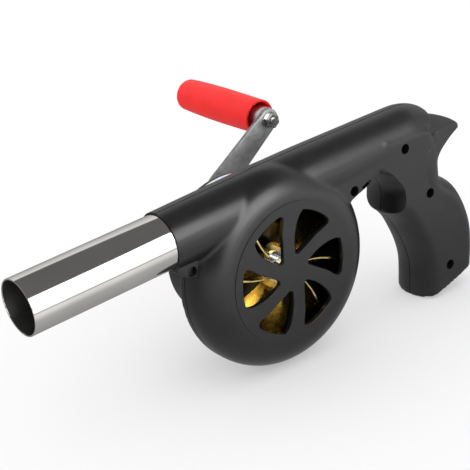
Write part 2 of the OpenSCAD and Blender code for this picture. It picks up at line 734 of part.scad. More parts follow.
module crank_arm()
    color([0.35, 0.36, 0.37]) stand() to_far() at(axis_xz) rotate(arm_angle) difference() {
        intersection() {
            linear_extrude(arm_end_y + 2 * arm_t) hull() {
                circle(arm_hub_w / 2, $fn = 48);
                translate([arm_len, 0]) circle(arm_end_w / 2, $fn = 48);
            }
            rotate([90, 0, 0]) translate([0, 0, -arm_hub_w]) linear_extrude(2 * arm_hub_w)
                polygon([[-arm_hub_w, arm_y], [bend_start, arm_y], [bend_end, arm_end_y],
                    [arm_len + arm_hub_w, arm_end_y], [arm_len + arm_hub_w, arm_end_y + arm_t],
                    [bend_end - bend_ease, arm_end_y + arm_t], [bend_start - bend_ease, arm_y + arm_t],
                    [-arm_hub_w, arm_y + arm_t]]);
        }
        linear_extrude(arm_end_y) flatted(arm_seat_d / 2 + snug, arm_seat_flat + 2 * snug);
        translate([arm_len, 0, 0]) cylinder(h = sleeve_y, r = handle_thread_d / 2 + snug);
    }
module shaft_washer()
    color([0.78, 0.78, 0.8]) stand() to_far() at(axis_xz)
        bush(arm_y + arm_t, arm_y + arm_t + washer_t, shaft_washer_d / 2, arm_seat_d / 2 + snug);
module shaft_nut()
    color([0.78, 0.78, 0.8]) stand() to_far() at(axis_xz) rotate(arm_angle)
        translate([0, 0, arm_y + arm_t + washer_t]) hex_nut(shaft_nut_af, shaft_nut_t, arm_seat_d / 2 + snug);
module handle_bolt()
    color([0.75, 0.75, 0.77]) stand() to_far() at(handle_xz) {
        translate([0, 0, handle_tip_y])
            cylinder(h = arm_end_y + arm_t - handle_tip_y, r = handle_thread_d / 2);
        translate([0, 0, arm_end_y + arm_t])
            cylinder(h = bolt_head_y - arm_end_y - arm_t, r = bolt_d / 2);
        translate([0, 0, bolt_head_y]) cylinder(h = bolt_head_t, r = bolt_head_d / 2);
    }
module handle_spacer()
    color([0.7, 0.68, 0.68]) stand() to_far() at(handle_xz)
        bush(arm_end_y + arm_t, spacer_end, spacer_d / 2, bolt_d / 2 + snug);
module handle_washer()
    color([0.78, 0.78, 0.8]) stand() to_far() at(handle_xz)
        bush(arm_end_y - handle_washer_t, arm_end_y, handle_washer_d / 2, handle_thread_d / 2 + snug);
module handle_nut()
    color([0.78, 0.78, 0.8]) stand() to_far() at(handle_xz)
        translate([0, 0, arm_end_y - handle_washer_t - handle_nut_t]) rotate(arm_angle)
            hex_nut(handle_nut_af, handle_nut_t, handle_thread_d / 2 + snug);

// The sleeve and what turns with it
module handle_sleeve()
    color([0.93, 0.15, 0.12]) stand() to_far() at(handle_xz) translate([0, 0, sleeve_y]) difference() {
        drum(handle_d / 2, handle_len, cap_edge);
        translate([0, 0, -cut]) cylinder(h = sleeve_mouth + cut, r = mouth_bore_r);
        translate([0, 0, core_end - sleeve_y]) cylinder(h = handle_len, r = cap_bore_r);
        cylinder(h = handle_len, r = bolt_d / 2 + run_gap);
    }
module handle_cap()
    color([0.9, 0.13, 0.1]) stand() to_far() at(handle_xz) translate([0, 0, sleeve_end - cap_t])
        cylinder(h = cap_t - cap_sink, r = cap_bore_r - snug);

near_housing();
far_housing();
gear_cover();
cover_label();
nozzle_tube();
front_bearing();
rear_bearing();
crank_bearing();
idler_pin();
housing_screws();
cover_screws();
fan_shaft();
fan_wheel();
fan_hub();
fan_nut();
fan_pinion();
idler_gear();
crank_gear();
crank_shaft();
thrust_washer();
crank_arm();
shaft_washer();
shaft_nut();
handle_bolt();
handle_spacer();
handle_washer();
handle_nut();
handle_sleeve();
handle_cap();
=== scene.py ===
# Hand-cranked air blower in the shape of a pistol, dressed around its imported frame.
# Shapes are in millimetres in the blower's own frame: X runs from the muzzle to the grip, Y from the
# grille side to the crank side and Z up, with the origin at the middle of the muzzle. seat() stands them in
# the row.
import json
import math

import bmesh
import bpy
from mathutils import Matrix, Vector


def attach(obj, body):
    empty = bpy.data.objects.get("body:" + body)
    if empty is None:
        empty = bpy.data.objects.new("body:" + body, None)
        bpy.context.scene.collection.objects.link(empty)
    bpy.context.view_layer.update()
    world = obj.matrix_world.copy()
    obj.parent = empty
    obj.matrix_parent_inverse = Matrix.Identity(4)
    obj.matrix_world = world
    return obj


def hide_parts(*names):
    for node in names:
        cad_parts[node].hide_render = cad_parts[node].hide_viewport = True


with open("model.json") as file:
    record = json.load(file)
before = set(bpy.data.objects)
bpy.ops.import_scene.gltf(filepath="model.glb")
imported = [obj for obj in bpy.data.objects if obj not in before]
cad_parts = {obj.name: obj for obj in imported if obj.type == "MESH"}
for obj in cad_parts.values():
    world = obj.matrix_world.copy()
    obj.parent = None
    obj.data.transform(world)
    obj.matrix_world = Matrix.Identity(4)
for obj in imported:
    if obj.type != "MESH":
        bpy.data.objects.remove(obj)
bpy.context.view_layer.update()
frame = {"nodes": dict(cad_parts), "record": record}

# Units and mesh fineness
MM = 0.001
WELD = 0.001
TURNS = 96
FINE_TURNS = 192
SKIN_STEP = 0.75
CUT = 1.0

# Nozzle tube
TUBE_R = 14.0
TUBE_BORE = 13.2
TUBE_SEAT_R = 13.8
TUBE_OUT = 78.0
TUBE_END = 96.0
LIP = 0.3
LIP_EASE = 0.1
BORE_MARGIN = 0.02

# Barrel, from the mouth to its rounded tail
BARREL_BELLY_R = 16.0
BARREL_TAIL_R = 14.9
BARREL_BELLY = (146.0, 164.0)
BARREL_TAIL_X = 230.0
BARREL_TAIL_LEN = 23.0
MOUTH_R = 14.9
MOUTH_SEAT_R = 14.2

# Fan casing and gear housing
CASING = (138.8, -36.5)
CASING_R = 52.7
CASING_NEAR = 18.5
CASING_FAR = 4.6
SHOULDER_R = 16.3
WALL = 2.2
GEARBOX_R = 38.0
COVER_SPLIT = 20.0
FACE_R = 36.6
FACE_RISE = 0.25
VENT_FLARE = 0.35
GROOVE_DEPTH = 0.35
GROOVE_HALF = 0.25
SEAM_GAP = 0.02
DUCT_END = 172.0
MOUTH_ROOM = (20.0, 40.0)
AROUND = ((0, -100, -200), (400, 100, 100))

# Grip
GRIP_HALF = 15.0
GRIP_EDGE = 8.0
GRIP_STEPS = 8
GRIP_OUTLINE = (
    (206, 8), (222, 8), (238, 7.5), (246, 2), (249.5, -8), (249.5, -16), (249, -22), (249.3, -27),
    (253, -31), (260.1, -37.2), (266, -49), (269.2, -62), (269, -75), (267.2, -86.5), (266, -98),
    (262, -108), (250, -112), (236, -111), (230.5, -104), (229.2, -95), (230.2, -86), (230.9, -76),
    (229, -66), (225.5, -56.5), (221, -47), (215, -39.5), (209.5, -35), (205.2, -31.5), (204, -27),
    (205.5, -22), (208, -17), (206, -9))

# Rear spur, at each X: half width, height of its crown, of its side edges and of its underside
SPUR_STATIONS = (
    (236, 15.05, -2, -12, -28), (240, 15.05, 0, -8, -31), (243, 14.3, 1.5, -5, -33),
    (246, 12.4, 2.5, -3.2, -31.5), (248.4, 10.2, 2.9, -3.4, -27.5), (250, 9.2, 3, -3.8, -20.5),
    (254.5, 7.8, 2.9, -4.7, -16.8), (262.4, 5.3, -0.8, -5.8, -14.2), (269, 3.2, -4.8, -7.2, -12.8),
    (274, 1.9, -8.6, -9.6, -11.8))
SPUR_SHARES = (-1, -0.8, -0.55, -0.3, -0.1, 0.1, 0.3, 0.55, 0.8, 1)
SPUR_CURVE = 1.4
SPUR_TURN = 40.0
CRISP_EDGE = 0.7

# Flat flank between barrel and grip, the web below it, the lug below the mouth and the slope of the foot
FLANK_OUTLINE = (
    (168, 2), (168, -14), (180, -16), (184, -14.5), (188.5, -12.5), (193, -9.5), (198, -8.2), (205, -8.4),
    (209, -12), (214, -19), (219, -27), (228, -36), (240, -44), (240, 2))
WEB_OUTLINE = (
    (171, 0), (172, -18), (181, -18.5), (184, -16.2), (188.5, -14.6), (193, -13.4), (197.2, -11.8),
    (199.5, -9.8), (204, -9.4), (205, 0))
WEB_PROUD = 0.02
LUG_OUTLINE = ((79.3, -9), (79.3, -15.3), (85.4, -20.4), (91.1, -21.8), (97, -23), (105, -9))
LUG_Y = 8.0
FOOT = (229.2, -95.0)
FOOT_SLOPE = 14.3
FOOT_ROOM = ((-60, -40, -60), (60, 40, 0))
BODY_ROUNDS = 4
FOOT_ROUNDS = 2

# Finger groove across the front of the grip at the parting plane, and how it deepens towards the sides
GROOVE_OUTLINE = (
    (195, -9.2), (201, -9.2), (206.5, -11.2), (210.1, -14.8), (212.7, -18.5), (214.9, -22), (216, -25.6),
    (216.1, -29.4), (215.3, -33.5), (214.2, -37.4), (205, -46), (195, -46))
GROOVE_DEEP_X = 201.5
GROOVE_SPREAD = (0.0165, 2)
GROOVE_RINGS = 36

# Screw holes in the near half: place, and depth of the head's seat
HOLE_R = 2.7
SEAT_Y = 5.5
SCREW_SPOTS = (
    ((222.4, -2.4), SEAT_Y), ((236.9, -32.8), SEAT_Y), ((246.8, -79.2), SEAT_Y), ((185.8, -11.9), SEAT_Y),
    ((87.4, -17.3), 3.6))
SLOT = (194.2, -11.6)
SLOT_SIZE = (6.0, 2.4)
SLOT_ANGLE = 20.0

# Vents of the grille, as shares of the radius that they reach
VENT_COUNT = 6
VENT_R = 31.8
VENT_SHARES = (
    (0.985, 0.174), (1, 0), (0.982, -0.187), (0.94, -0.342), (0.904, -0.396), (0.839, -0.404),
    (0.738, -0.313), (0.658, -0.238), (0.479, -0.111), (0.337, -0.005), (0.3, 0.036), (0.308, 0.088),
    (0.358, 0.117), (0.523, 0.192), (0.728, 0.231), (0.878, 0.228), (0.951, 0.202))

# Camera, in the blower's frame
CAMERA_SPOT = (-243.35, -525.5, 289.3)
CAMERA_AIM = (120.28, 0.0, -13.71)
CAMERA_ROLL = -8.898
CAMERA_LENS = 111.8
CAMERA_SENSOR = 36.0
CAMERA_REACH = 20.0


def blower_place():
    """Matrix from the blower's frame, in millimetres, to the row frame, by the bore of the nozzle."""
    bore = next(m for m in frame["record"]["mounts"] if m["name"] == "nozzle_bore")
    along = -Vector(bore["axis"])
    across = Vector((0, 1, 0))
    turn = Matrix((along, across, along.cross(across))).transposed().to_4x4()
    return Matrix.Translation(Vector(bore["pos_m"])) @ turn @ Matrix.Scale(MM, 4)


PLACE = blower_place()


# Mesh helpers
def settled(bm, name):
    """A mesh object made from a bmesh, welded and with its faces outwards."""
    bmesh.ops.remove_doubles(bm, verts=bm.verts, dist=WELD)
    bmesh.ops.recalc_face_normals(bm, faces=bm.faces)
    mesh = bpy.data.meshes.new(name)
    bm.to_mesh(mesh)
    bm.free()
    piece = bpy.data.objects.new(name, mesh)
    bpy.context.scene.collection.objects.link(piece)
    return piece


def apply_modifiers(piece):
    bpy.context.view_layer.update()
    graph = bpy.context.evaluated_depsgraph_get()
    mesh = bpy.data.meshes.new_from_object(piece.evaluated_get(graph))
    piece.modifiers.clear()
    piece.data = mesh
    return piece


def boolean(piece, tool, operation):
    """Cuts, joins or intersects piece with tool, which is used up."""
    step = piece.modifiers.new("boolean", "BOOLEAN")
    step.operation = operation
    step.solver = "MANIFOLD"
    step.object = tool
    apply_modifiers(piece)
    bpy.data.objects.remove(tool)
    return piece


def copied(piece, name):
    twin = bpy.data.objects.new(name, piece.data.copy())
    bpy.context.scene.collection.objects.link(twin)
    return twin


def smooth_loop(points, steps=3):
    """Points of a closed curve through the given ones."""
    count = len(points)
    loop = []
    for i in range(count):
        p, q, r, s = (Vector(points[(i + k) % count]) for k in (-1, 0, 1, 2))
        for k in range(steps):
            t = k / steps
            loop.append((2 * q + (r - p) * t + (2 * p - 5 * q + 4 * r - s) * t * t
                         + (3 * q - p - 3 * r + s) * t ** 3) / 2)
    return loop


def smooth_run(points, steps=4):
    """A smooth line through points, from the first to the last."""
    spots = [Vector(p) for p in points]
    ends = [2 * spots[0] - spots[1]] + spots + [2 * spots[-1] - spots[-2]]
    line = []
    for a, b, c, d in zip(ends, ends[1:], ends[2:], ends[3:]):
        for k in range(steps):
            t = k / steps
            line.append(0.5 * (2 * b + (c - a) * t + (2 * a - 5 * b + 4 * c - d) * t ** 2
                               + (3 * b - a - 3 * c + d) * t ** 3))
    return line + [spots[-1]]


def arc(centre, radius, start, end, steps=8):
    """Points of radius and depth along an arc, its angles in degrees from the radial direction."""
    angles = [math.radians(start + (end - start) * k / steps) for k in range(steps + 1)]
    return [(centre[0] + radius * math.cos(a), centre[1] + radius * math.sin(a)) for a in angles]


def lathe(name, profile, centre=(0, 0), axis="Y", steps=TURNS):
    """A solid turned from points of radius and depth, about a line along X, or along Y through centre."""
    bm = bmesh.new()
    if axis == "X":
        spots = [(depth, 0, radius) for radius, depth in profile]
        direction = (1, 0, 0)
    else:
        spots = [(centre[0] + radius, depth, centre[1]) for radius, depth in profile]
        direction = (0, 1, 0)
    verts = [bm.verts.new(spot) for spot in spots]
    edges = [bm.edges.new(pair) for pair in zip(verts, verts[1:])]
    if profile[0][0] > 0:
        edges.append(bm.edges.new((verts[-1], verts[0])))
    middle = (0, 0, 0) if axis == "X" else (centre[0], 0, centre[1])
    bmesh.ops.spin(bm, geom=verts + edges, cent=middle, axis=direction, angle=2 * math.pi, steps=steps,
                   use_merge=True)
    return settled(bm, name)


def lofted(name, rings):
    """A solid skin over rings of as many points each, closed at both ends."""
    bm = bmesh.new()
    loops = [[bm.verts.new(spot) for spot in ring] for ring in rings]
    for loop, following in zip(loops, loops[1:]):
        for i in range(len(loop)):
            j = (i + 1) % len(loop)
            bm.faces.new((loop[i], loop[j], following[j], following[i]))
    bm.faces.new(loops[0])
    bm.faces.new(loops[-1])
    return settled(bm, name)


def plate(name, outline, low, high):
    """An outline of X and Z, extruded between two depths."""
    bm = bmesh.new()
    face = bm.faces.new([bm.verts.new((x, low, z)) for x, z in outline])
    grown = bmesh.ops.extrude_face_region(bm, geom=[face])
    lifted = [v for v in grown["geom"] if isinstance(v, bmesh.types.BMVert)]
    bmesh.ops.translate(bm, verts=lifted, vec=(0, high - low, 0))
    return settled(bm, name)


def slab(name, low, high):
    """A plain box between two corners."""
    bm = bmesh.new()
    bmesh.ops.create_cube(bm, size=1)
    size = Vector(high) - Vector(low)
    bmesh.ops.scale(bm, vec=size, verts=bm.verts)
    bmesh.ops.translate(bm, vec=Vector(low) + size / 2, verts=bm.verts)
    return settled(bm, name)


def rod(name, centre, radius, low, high, steps=48):
    """A cylinder along Y through centre, between two depths."""
    return lathe(name, ((0, low), (radius, low), (radius, high), (0, high)), centre, "Y", steps)


def gathered(name, pieces):
    """One object that holds the meshes of several, which are used up."""
    bm = bmesh.new()
    for piece in pieces:
        bm.from_mesh(piece.data)
        bpy.data.objects.remove(piece)
    mesh = bpy.data.meshes.new(name)
    bm.to_mesh(mesh)
    bm.free()
    whole = bpy.data.objects.new(name, mesh)
    bpy.context.scene.collection.objects.link(whole)
    return whole


def fused(piece, step, rounds):
    """Melts overlapping solids into one skin of even squares, then eases its corners."""
    melt = piece.modifiers.new("melt", "REMESH")
    melt.mode = "VOXEL"
    melt.voxel_size = step
    apply_modifiers(piece)
    bm = bmesh.new()
    bm.from_mesh(piece.data)
    for _ in range(rounds):
        bmesh.ops.smooth_vert(bm, verts=bm.verts, factor=0.5, use_axis_x=True, use_axis_y=True,
                              use_axis_z=True)
    bm.to_mesh(piece.data)
    bm.free()
    return piece


def seat(piece, body, material, sharp=35.0):
    """Stands a finished piece in the row, smooth but for its sharp edges, and fixes it to its body."""
    piece.data.transform(PLACE)
    for face in piece.data.polygons:
        face.use_smooth = True
    piece.data.set_sharp_from_angle(angle=math.radians(sharp))
    piece.data.materials.clear()
    piece.data.materials.append(material)
    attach(piece, body)
    return piece


# Materials
def plain_material(name, colour, roughness, metallic=0.0):
    """A material with its main shader, ready for detail."""
    material = bpy.data.materials.new(name)
    material.use_nodes = True
    shader = material.node_tree.nodes["Principled BSDF"]
    shader.inputs["Base Color"].default_value = (*colour, 1)
    shader.inputs["Roughness"].default_value = roughness
    shader.inputs["Metallic"].default_value = metallic
    return material, shader


def object_noise(material, size_mm, detail=3.0):
    """Noise on object coordinates, whose grains are about size_mm across."""
    nodes = material.node_tree.nodes
    place = nodes.new("ShaderNodeTexCoord")
    noise = nodes.new("ShaderNodeTexNoise")
    noise.inputs["Scale"].default_value = 1 / (size_mm * MM)
    noise.inputs["Detail"].default_value = detail
    material.node_tree.links.new(place.outputs["Object"], noise.inputs["Vector"])
    return noise.outputs["Fac"]


def spread(material, source, low, high, socket):
    """Feeds socket with source, stretched to run from low to high."""
    stretch = material.node_tree.nodes.new("ShaderNodeMapRange")
    stretch.inputs["From Min"].default_value = 0.3
    stretch.inputs["From Max"].default_value = 0.7
    stretch.inputs["To Min"].default_value = low
    stretch.inputs["To Max"].default_value = high
    material.node_tree.links.new(source, stretch.inputs["Value"])
    material.node_tree.links.new(stretch.outputs["Result"], socket)


def two_tone(material, source, dark, light, socket):
    """Feeds socket with a colour between dark and light."""
    ramp = material.node_tree.nodes.new("ShaderNodeValToRGB")
    ramp.color_ramp.elements[0].position = 0.35
    ramp.color_ramp.elements[1].position = 0.65
    ramp.color_ramp.elements[0].color = (*dark, 1)
    ramp.color_ramp.elements[1].color = (*light, 1)
    material.node_tree.links.new(source, ramp.inputs["Fac"])
    material.node_tree.links.new(ramp.outputs["Color"], socket)


def bumped(material, shader, source, depth_mm, strength):
    """Lets source raise the surface by up to depth_mm, without moving its mesh."""
    bump = material.node_tree.nodes.new("ShaderNodeBump")
    bump.inputs["Strength"].default_value = strength
    bump.inputs["Distance"].default_value = depth_mm * MM
    material.node_tree.links.new(source, bump.inputs["Height"])
    material.node_tree.links.new(bump.outputs["Normal"], shader.inputs["Normal"])


def textured(name, dark, light, rough, grain_mm, depth_mm, metallic=0.0, blotch_mm=9.0, strength=0.3):
    """A finish whose colour and gloss drift a little, over a fine grain."""
    material, shader = plain_material(name, light, rough[1], metallic)
    blotch = object_noise(material, blotch_mm)
    two_tone(material, blotch, dark, light, shader.inputs["Base Color"])
    spread(material, object_noise(material, blotch_mm / 2), rough[0], rough[1], shader.inputs["Roughness"])
    bumped(material, shader, object_noise(material, grain_mm, 2.0), depth_mm, strength)
    return material


HOUSING = textured(
    "housing_plastic", (0.0075, 0.0075, 0.0078), (0.010, 0.010, 0.0104), (0.31, 0.35), 0.5, 0.015)
RED = textured("red_plastic", (0.94, 0.002, 0.001), (1.0, 0.004, 0.002), (0.40, 0.48), 0.8, 0.02)
STAINLESS = textured(
    "polished_stainless", (0.60, 0.585, 0.565), (0.64, 0.625, 0.605),
    (0.05, 0.08), 0.6, 0.002, 1.0, 20.0, 0.1)
# Bore of the tube: unpolished, rougher steel whose near-black colour is painted shade inside the tube.
SHADED_BORE = textured(
    "unpolished_bore_painted_shade", (0.030, 0.029, 0.028), (0.045, 0.043, 0.041), (0.40, 0.50), 0.8, 0.01, 0.6, 12.0)
ARM_STEEL = textured(
    "rolled_steel", (0.30, 0.302, 0.305), (0.42, 0.422, 0.425), (0.40, 0.50), 0.7, 0.03, 1.0, 5.0)
ZINC = textured("zinc_plate", (0.60, 0.60, 0.58), (0.74, 0.74, 0.72), (0.20, 0.30), 0.8, 0.01, 1.0, 3.0)
YELLOW_ZINC = textured(
    "yellow_zinc_plate", (0.60, 0.44, 0.14), (0.85, 0.66, 0.26), (0.16, 0.26), 0.9, 0.01, 1.0, 4.0)
BRONZE = textured(
    "sintered_bronze", (0.36, 0.23, 0.10), (0.52, 0.35, 0.17), (0.38, 0.50), 0.4, 0.03, 1.0, 2.0)
SHAFT_STEEL = textured(
    "ground_steel", (0.48, 0.48, 0.49), (0.60, 0.60, 0.61), (0.22, 0.30), 0.5, 0.01, 1.0, 4.0)
SCREW_STEEL = textured(
    "black_screw_steel", (0.03, 0.03, 0.032), (0.06, 0.06, 0.062), (0.30, 0.42), 0.4, 0.02, 1.0, 2.0)
GEAR_PLASTIC = textured("natural_nylon", (0.68, 0.66, 0.60), (0.78, 0.76, 0.70), (0.36, 0.46), 0.6, 0.02)
LABEL = textured("label_film", (0.50, 0.66, 0.92), (0.95, 0.97, 1.0), (0.22, 0.30), 1.2, 0.01, 0.0, 2.5)

NODE_FINISH = {
    "near_housing": HOUSING, "far_housing": HOUSING, "gear_cover": HOUSING, "cover_label": LABEL,
    "nozzle_tube": STAINLESS, "front_bearing": BRONZE, "rear_bearing": BRONZE, "crank_bearing": BRONZE,
    "idler_pin": SHAFT_STEEL, "housing_screws": SCREW_STEEL, "cover_screws": SCREW_STEEL,
    "fan_shaft": SHAFT_STEEL, "fan_wheel": YELLOW_ZINC, "fan_hub": ZINC, "fan_nut": ZINC,
    "fan_pinion": GEAR_PLASTIC, "idler_gear": GEAR_PLASTIC, "crank_gear": GEAR_PLASTIC,
    "crank_shaft": SHAFT_STEEL, "thrust_washer": GEAR_PLASTIC, "crank_arm": ARM_STEEL, "shaft_washer": ZINC,
    "shaft_nut": ZINC, "handle_bolt": ZINC, "handle_spacer": SHAFT_STEEL, "handle_washer": ZINC,
    "handle_nut": ZINC, "handle_sleeve": RED, "handle_cap": RED}
for node_name, finish in NODE_FINISH.items():
    mesh = frame["nodes"][node_name].data
    mesh.materials.clear()
    mesh.materials.append(finish)


# Body of the blower
def barrel_form():
    tail = arc((0, 0), 1, 0, 90)
    return lathe("barrel", [(0, TUBE_OUT - 4), (MOUTH_R, TUBE_OUT - 4), (MOUTH_R, TUBE_OUT),
                            (BARREL_BELLY_R, BARREL_BELLY[0]), (BARREL_BELLY_R, BARREL_BELLY[1])]
                 + [(BARREL_TAIL_R * c, BARREL_TAIL_X + BARREL_TAIL_LEN * s) for c, s in tail[:-1]]
                 + [(0, BARREL_TAIL_X + BARREL_TAIL_LEN)], axis="X")


def casing_form(inset=0.0):
    """The drum of the casing, or its hollow at an inset."""
    near = CASING_NEAR - inset
    radius = CASING_R - inset
    edge = SHOULDER_R - inset
    shoulder = [(r, -y) for r, y in arc((radius - edge, near - edge), edge, 0, 90, 12)]
    profile = [(0, CASING_FAR - inset), (radius, CASING_FAR - inset)] + shoulder + [(0, -near)]
    return lathe("casing", profile, CASING, steps=FINE_TURNS)


def grip_form():
    """The grip, with edges that swell from its outline to its flat sides."""
    bm = bmesh.new()
    face = bm.faces.new([bm.verts.new((x, 0, z)) for x, z in smooth_loop(GRIP_OUTLINE)])
    if face.normal.y > 0:
        face.normal_flip()
    last = 0.0
    for k in range(1, GRIP_STEPS + 1):
        angle = math.radians(90 * k / GRIP_STEPS)
        inset = GRIP_EDGE * (1 - math.cos(angle))
        rise = GRIP_HALF * math.sin(angle)
        bmesh.ops.inset_region(bm, faces=[face], thickness=inset - last, use_even_offset=False,
                               use_boundary=True)
        for vert in face.verts:
            vert.co.y = -rise
        last = inset
    bmesh.ops.mirror(bm, geom=bm.verts[:] + bm.edges[:] + bm.faces[:], matrix=Matrix.Identity(4),
                     merge_dist=WELD, axis="Y")
    return settled(bm, "grip")


def eased_edges(piece, width, angle=50.0):
    """Bevels the edges of a piece that turn by more than angle."""
    bm = bmesh.new()
    bm.from_mesh(piece.data)
    rims = [e for e in bm.edges if e.calc_face_angle(0) > math.radians(angle)]
    bmesh.ops.bevel(bm, geom=rims, offset=width, offset_type="OFFSET", segments=3, profile=0.5,
                    affect="EDGES", material=-1)
    bm.to_mesh(piece.data)
    bm.free()
    return piece


def spur_form():
    """The rear spur: crowned on top, with crisp edges, and as wide at its root as the grip."""
    rings = []
    for x, width, crown, edge, foot in smooth_run(SPUR_STATIONS):
        drop = edge - crown
        spots = [(share * width, crown + drop * abs(share) ** SPUR_CURVE) for share in SPUR_SHARES]
        spots += [(width, foot), (-width, foot)]
        rings.append([(x, y, z) for y, z in spots])
    return eased_edges(lofted("spur", rings), CRISP_EDGE, SPUR_TURN)


def groove_form():
    """The cutter of the finger groove, which is deeper towards both sides of the grip."""
    rings = []
    outline = smooth_run(GROOVE_OUTLINE[1:-2])
    outline = [Vector(GROOVE_OUTLINE[0])] + outline + [Vector(p) for p in GROOVE_OUTLINE[-2:]]
    for k in range(GROOVE_RINGS):
        y = k - (GROOVE_RINGS - 1) / 2
        deeper = GROOVE_SPREAD[0] * abs(y) ** GROOVE_SPREAD[1]
        rings.append([(p.x + (deeper if p.x > GROOVE_DEEP_X else 0), y, p.y) for p in outline])
    return lofted("finger_groove", rings)


def body_form():
    """Both halves of the body as one skin, before they are parted."""
    flank = plate("flank", FLANK_OUTLINE, -GRIP_HALF, GRIP_HALF)
    gearbox = rod("gearbox", CASING, GEARBOX_R, 0, COVER_SPLIT, TURNS)
    forms = [barrel_form(), casing_form(), grip_form(), flank, gearbox]
    body = fused(gathered("body", forms), SKIN_STEP, BODY_ROUNDS)
    foot = slab("foot", *FOOT_ROOM)
    foot.data.transform(Matrix.Translation((FOOT[0], 0, FOOT[1]))
                        @ Matrix.Rotation(math.radians(-FOOT_SLOPE), 4, "Y"))
    boolean(body, foot, "DIFFERENCE")
    fused(body, SKIN_STEP, FOOT_ROUNDS)
    boolean(body, groove_form(), "DIFFERENCE")
    web = plate("web", WEB_OUTLINE, -GRIP_HALF - WEB_PROUD, GRIP_HALF + WEB_PROUD)
    lug = plate("lug", LUG_OUTLINE, -LUG_Y, LUG_Y)
    for form in (spur_form(), eased_edges(web, CRISP_EDGE), eased_edges(lug, CRISP_EDGE)):
        boolean(body, form, "UNION")
    return body


def parting_outline(body):
    """The outline of the body at the parting plane, as a closed loop."""
    cut = bmesh.new()
    cut.from_mesh(body.data)
    bmesh.ops.bisect_plane(cut, geom=cut.verts[:] + cut.edges[:] + cut.faces[:], plane_co=(0, 0, 0),
                           plane_no=(0, 1, 0), clear_inner=True, clear_outer=True)
    first = min(cut.verts, key=lambda v: v.co.x)
    loop, edge, here = [first], first.link_edges[0], first.link_edges[0].other_vert(first)
    for _ in range(len(cut.verts)):
        if here is first:
            break
        loop.append(here)
        edge = next(e for e in here.link_edges if e is not edge)
        here = edge.other_vert(here)
    spots = [(v.co.x, v.co.z) for v in loop]
    cut.free()
    return spots


def widened(points, distance):
    """A closed outline, moved outwards by distance, on the side that the winding of its points gives."""
    spots = [Vector(p) for p in points]
    area = sum(a.x * b.y - b.x * a.y for a, b in zip(spots, spots[1:] + spots[:1]))
    side = 1 if area > 0 else -1
    moved = []
    for before, here, after in zip(spots[-1:] + spots[:-1], spots, spots[1:] + spots[:1]):
        along = (after - before).normalized()
        moved.append((here.x + side * distance * along.y, here.y - side * distance * along.x))
    return moved


def flared_cutter(name, outline, depth, flare):
    """A cutter through the casing's face, whose mouth flares at the face."""
    levels = ((widened(outline, flare + CUT), -depth - CUT), (outline, -depth + flare),
              (outline, -depth + WALL + CUT))
    return lofted(name, [[(x, y, z) for x, z in points] for points, y in levels])


def vent_cutters():
    """All the vents of the grille as one cutter."""
    cutters = []
    outline = [(p.x * VENT_R, p.y * VENT_R) for p in smooth_loop(VENT_SHARES)]
    for k in range(VENT_COUNT):
        turn = 2 * math.pi * k / VENT_COUNT
        c, s = math.cos(turn), math.sin(turn)
        spots = [(CASING[0] + x * c - z * s, CASING[1] + x * s + z * c) for x, z in outline]
        cutters.append(flared_cutter("vent", spots, CASING_NEAR + FACE_RISE, VENT_FLARE))
    return gathered("vents", cutters)


def bore_form():
    """The seat and bore of the tube in the barrel, with room to cut the barrel off at its mouth."""
    room, room_r = MOUTH_ROOM
    profile = ((0, TUBE_OUT - room), (room_r, TUBE_OUT - room), (room_r, TUBE_OUT),
               (MOUTH_SEAT_R, TUBE_OUT), (MOUTH_SEAT_R, TUBE_END), (TUBE_BORE, TUBE_END),
               (TUBE_BORE, DUCT_END), (0, DUCT_END))
    return lathe("bore", profile, axis="X")


def slot_form():
    """The slot in the web, turned to its slant."""
    length, width = SLOT_SIZE
    slot = slab("slot", (-length / 2, -CASING_NEAR, -width / 2), (length / 2, -SEAT_Y, width / 2))
    slot.data.transform(Matrix.Translation((SLOT[0], 0, SLOT[1]))
                        @ Matrix.Rotation(math.radians(-SLOT_ANGLE), 4, "Y"))
    return slot


def make_shells():
    """Both halves of the body, parted by a fine groove and hollowed."""
    body = body_form()
    far = copied(body, "far_shell")
    core = widened(parting_outline(body), -GROOVE_DEPTH)
    low, high = AROUND
    boolean(body, slab("half", (low[0], -GROOVE_HALF, low[2]), high), "DIFFERENCE")
    boolean(far, slab("half", low, (high[0], GROOVE_HALF, high[2])), "DIFFERENCE")
    boolean(body, plate("core", core, -GROOVE_HALF - CUT, -SEAM_GAP), "UNION")
    boolean(far, plate("core", core, SEAM_GAP, GROOVE_HALF + CUT), "UNION")
    body.name = "near_shell"
    face = rod("face", CASING, FACE_R, -CASING_NEAR - FACE_RISE, -CASING_NEAR + CUT, FINE_TURNS)
    boolean(body, face, "UNION")
    for shell in (body, far):
        boolean(shell, casing_form(WALL), "DIFFERENCE")
        boolean(shell, bore_form(), "DIFFERENCE")
    boolean(body, vent_cutters(), "DIFFERENCE")
    holes = [rod("hole", spot, HOLE_R, -CASING_NEAR - CUT, -depth) for spot, depth in SCREW_SPOTS]
    boolean(body, gathered("holes", holes), "DIFFERENCE")
    boolean(body, slot_form(), "DIFFERENCE")
    gear_room = rod("gear_room", CASING, GEARBOX_R - WALL, CASING_FAR, COVER_SPLIT + CUT, TURNS)
    boolean(far, gear_room, "DIFFERENCE")
    for shell, node in ((body, "near_housing"), (far, "far_housing")):
        seat(shell, "housing", HOUSING)
        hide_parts(node)


make_shells()


